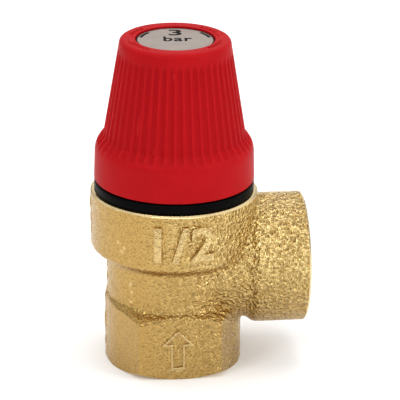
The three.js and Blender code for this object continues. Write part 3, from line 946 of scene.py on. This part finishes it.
# %% Lugs, and the knob in place
LUG_SPAN = 10
LUG_GAP = 0.15
LUG_FOOT = RAMP_FOOT + LUG_SPAN * CAM_RISE + LUG_GAP
knob = add_object("knob_shell", knob_mesh, red_plastic)
for start in CAM_STARTS:
    lug = bent_bar(10.9, 13.5, start, LUG_SPAN, LUG_FOOT, LUG_FOOT, 42)
    cut(knob, add_object("lug", lug, red_plastic), "UNION")
smooth_shade(knob)
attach(knob, "knob")
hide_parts("knob")

# %% [markdown]
# ### Marks on the rim
# Small raised marks run round the rim of the knob's top: ticks, and an arrow on each side that shows
# which way the knob turns to open. They are thin plates, bent from the same helper as the ramps.

# %% Rim marks
MARK_TOP = RIM_TOP + 0.12
MARK_FOOT = RIM_TOP - 0.1
SHAFT_RADIUS = 8.5  # of the turn arrows
marks = bmesh.new()


def gather(whole, part):
    mesh = bpy.data.meshes.new("part")
    part.to_mesh(mesh)
    part.free()
    whole.from_mesh(mesh)
    bpy.data.meshes.remove(mesh)


def add_mark(inner, outer, start, span):
    gather(marks, bent_bar(inner, outer, start, span, MARK_TOP, MARK_TOP, MARK_FOOT))


for centre in (35, 145, 215, 325):
    for i in range(-4, 5):  # every second tick is longer
        add_mark(8.15, 8.55 + 0.35 * (i % 2 == 0), centre + i * 3.4 - 0.5, 1.0)
for centre in (0, 180):
    add_mark(SHAFT_RADIUS - 0.15, SHAFT_RADIUS + 0.15, centre - 17, 28)
    for i in range(6):  # the head, in steps that narrow to its tip
        half_width = 0.11 * (6 - i)
        add_mark(SHAFT_RADIUS - half_width, SHAFT_RADIUS + half_width, centre + 11 + i, 1.05)
rim_marks = add_object("rim_marks", marks, red_plastic)
smooth_shade(rim_marks, 20)
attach(rim_marks, "knob")

# %% [markdown]
# ### The printed label
# A grey disc is pressed into the top and says at what pressure the valve opens. The figures are a text
# turned into a mesh and laid a hair above the disc, as thick as a coat of ink.

# %% Label disc
LABEL_TOP = 63.23
label = add_object("label_plate", turned([
    (0, 62.63),
    (7.3, 62.63, 0.1),
    (7.3, LABEL_TOP, 0.12),
    (0, LABEL_TOP),
]), grey_print)
smooth_shade(label)
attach(label, "knob")
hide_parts("label_disc")

# %% Label print
INK = 0.02
INK_SPREAD = 0.1  # printed strokes run a little wider than drawn ones
INK_TOP = LABEL_TOP + INK
LABEL_TURN = math.radians(-4.7)
WORDS = (("3", 4.8, 1.3, 0.1, 4.35), ("bar", 4.0, 0.95, 0.35, 0.45))  # size, widening and place of each
ARCS = ((28, 30, 6.3, 6.9), (152, 30, 6.3, 6.9), (0, 180, 7.08, 7.27), (180, 180, 7.08, 7.27))
ink_mesh = bmesh.new()
for words, size, wide, x, y in WORDS:
    part = text_mesh(words, size, INK, space=1.1)
    part.normal_update()
    for corner in part.verts:
        corner.co.xy += corner.normal.xy.normalized() * INK_SPREAD * MM
    bmesh.ops.scale(part, verts=part.verts[:], vec=(wide, 1, 1))
    bmesh.ops.translate(part, verts=part.verts[:], vec=(x * MM, y * MM, (LABEL_TOP + INK / 2) * MM))
    gather(ink_mesh, part)
for centre, span, inner, outer in ARCS:
    gather(ink_mesh, bent_bar(inner, outer, centre - span / 2, span, INK_TOP, INK_TOP, LABEL_TOP - 0.1))
turn_by(ink_mesh, LABEL_TURN)
label_print = add_object("label_print", ink_mesh, black_ink)
smooth_shade(label_print, 20)
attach(label_print, "knob")

# %% [markdown]
# ## Inside the valve
# The spring is wire, so a small circle is spun with a rise for each turn: closed turns at both ends, open
# ones between. It is made in two halves, because its foot rises with the spindle and its middle
# with the knob. What a half keeps of its length is
# worked out from the 1.5 mm that the spindle lifts and the 1.8 mm that the knob rises.


# %% Spring
SPRING_FOOT = 31.9
SPRING_TOP = 47.0
SPRING_MIDDLE = 39.45
WIRE = 0.8  # radius of the wire
COIL_RADIUS = 7.2
COIL_STEPS = 40
END_PITCH = 1.75
OPEN_PITCH = 2.5


def coil(start, pitches):
    bm = bmesh.new()
    bmesh.ops.create_circle(
        bm, cap_ends=True, segments=12, radius=WIRE * MM,
        matrix=Matrix.Translation((COIL_RADIUS * MM, 0, start * MM)) @ Matrix.Rotation(QUARTER, 4, "X"),
    )
    moving = [*bm.verts, *bm.edges, *bm.faces]
    for pitch in pitches:
        turn = bmesh.ops.spin(
            bm, geom=moving, cent=(0, 0, 0), axis=(0, 0, 1),
            dvec=(0, 0, pitch / COIL_STEPS * MM), angle=math.tau, steps=COIL_STEPS,
        )
        moving = turn["geom_last"]
    bmesh.ops.remove_doubles(bm, verts=bm.verts[:], dist=1e-7)
    bmesh.ops.recalc_face_normals(bm, faces=bm.faces[:])
    print("coil open edges:", sum(not edge.is_manifold for edge in bm.edges))
    return bm


lower = add_object("spring_lower", coil(SPRING_FOOT + WIRE, (END_PITCH, OPEN_PITCH, OPEN_PITCH)), steel)
upper = add_object("spring_upper", coil(SPRING_MIDDLE, (OPEN_PITCH, OPEN_PITCH, END_PITCH)), steel)
for half_spring, joint, anchor, keep, rides in (
    (lower, "relief_lift", SPRING_MIDDLE, 0.801, "lifter"),
    (upper, "knob_rise", SPRING_TOP, 0.762, "body"),
):
    smooth_shade(half_spring)
    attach(half_spring, rides)
    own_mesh(half_spring)
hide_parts("spring")

# %% [markdown]
# ### The diaphragm
# The rubber diaphragm is clamped round its rim, and its middle lifts with the spindle. A fold between the
# two gives it the length to do so. The rim with the fold's foot stays with the body, and the middle rides
# on the spindle. The fold's inner wall is made in two halves, a lower and an upper one, each with its place
# baked into its mesh.

# %% Diaphragm
DISC_FOOT = 29.05
WALL_INNER = 9.5
WALL_OUTER = 10.1
RUBBER_COLUMNS = 96
FOLD_BOTTOM = 28.3
FOLD_MIDDLE = 29.1
FOLD_TOP = 29.95
rim = add_object("diaphragm_rim", turned([
    (13.7, DISC_FOOT, 0.1),
    (13.7, FOLD_TOP, 0.1),
    (10.9, FOLD_TOP, 0.3),
    (10.6, FOLD_BOTTOM + 0.5),
    (WALL_OUTER, FOLD_BOTTOM + 0.5),
    (WALL_INNER, FOLD_BOTTOM + 0.5),
    (WALL_INNER, FOLD_BOTTOM, 0.3),
    (11.3, FOLD_BOTTOM, 0.5),
    (11.7, DISC_FOOT, 0.3),
], RUBBER_COLUMNS), rubber)
low_wall = add_object("diaphragm_low_wall", turned([
    (WALL_INNER, FOLD_BOTTOM + 0.45),
    (WALL_OUTER, FOLD_BOTTOM + 0.45),
    (WALL_OUTER, 28.9),
    (WALL_OUTER, FOLD_MIDDLE),
    (WALL_INNER, FOLD_MIDDLE),
    (WALL_INNER, 28.9),
], RUBBER_COLUMNS), rubber)
high_wall = add_object("diaphragm_high_wall", turned([
    (WALL_INNER, FOLD_MIDDLE),
    (WALL_OUTER, FOLD_MIDDLE),
    (WALL_OUTER, 29.4),
    (WALL_OUTER, 29.7),
    (WALL_OUTER, FOLD_TOP),
    (WALL_INNER, FOLD_TOP),
    (WALL_INNER, 29.7),
    (WALL_INNER, 29.4),
], RUBBER_COLUMNS), rubber)
middle = add_object("diaphragm_middle", turned([
    (3.12, DISC_FOOT),
    (9.3, DISC_FOOT, 0.2),
    (9.55, 29.6),
    (9.55, FOLD_TOP),
    (3.12, FOLD_TOP),
], RUBBER_COLUMNS), rubber)
for part in (rim, low_wall, high_wall, middle):
    smooth_shade(part)
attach(rim, "body")
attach(middle, "spindle")
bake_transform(low_wall)
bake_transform(high_wall)
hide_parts("diaphragm")

# %% [markdown]
# ### The small turned and stamped pieces
# The other pieces inside have their right shapes already, so they only get their finishes.

# %% Finishes for the pieces that stay as they are
CARRIED = {
    "seat_seal": rubber,
    "slip_ring": steel, "seal_retainer": steel, "seal_screw": steel, "diaphragm_washer": steel,
    "spring_plate": steel, "spring_clip": steel, "upper_spring_washer": steel, "lift_washer": steel,
    "obturator": turned_upright, "stem": turned_upright,
    "adjusting_nut": turned_upright, "lock_nut": turned_upright,
}
for node, finish in CARRIED.items():
    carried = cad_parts[node]
    carried.data.materials.clear()
    carried.data.materials.append(finish)
print("pieces kept from the CAD:", len(CARRIED))
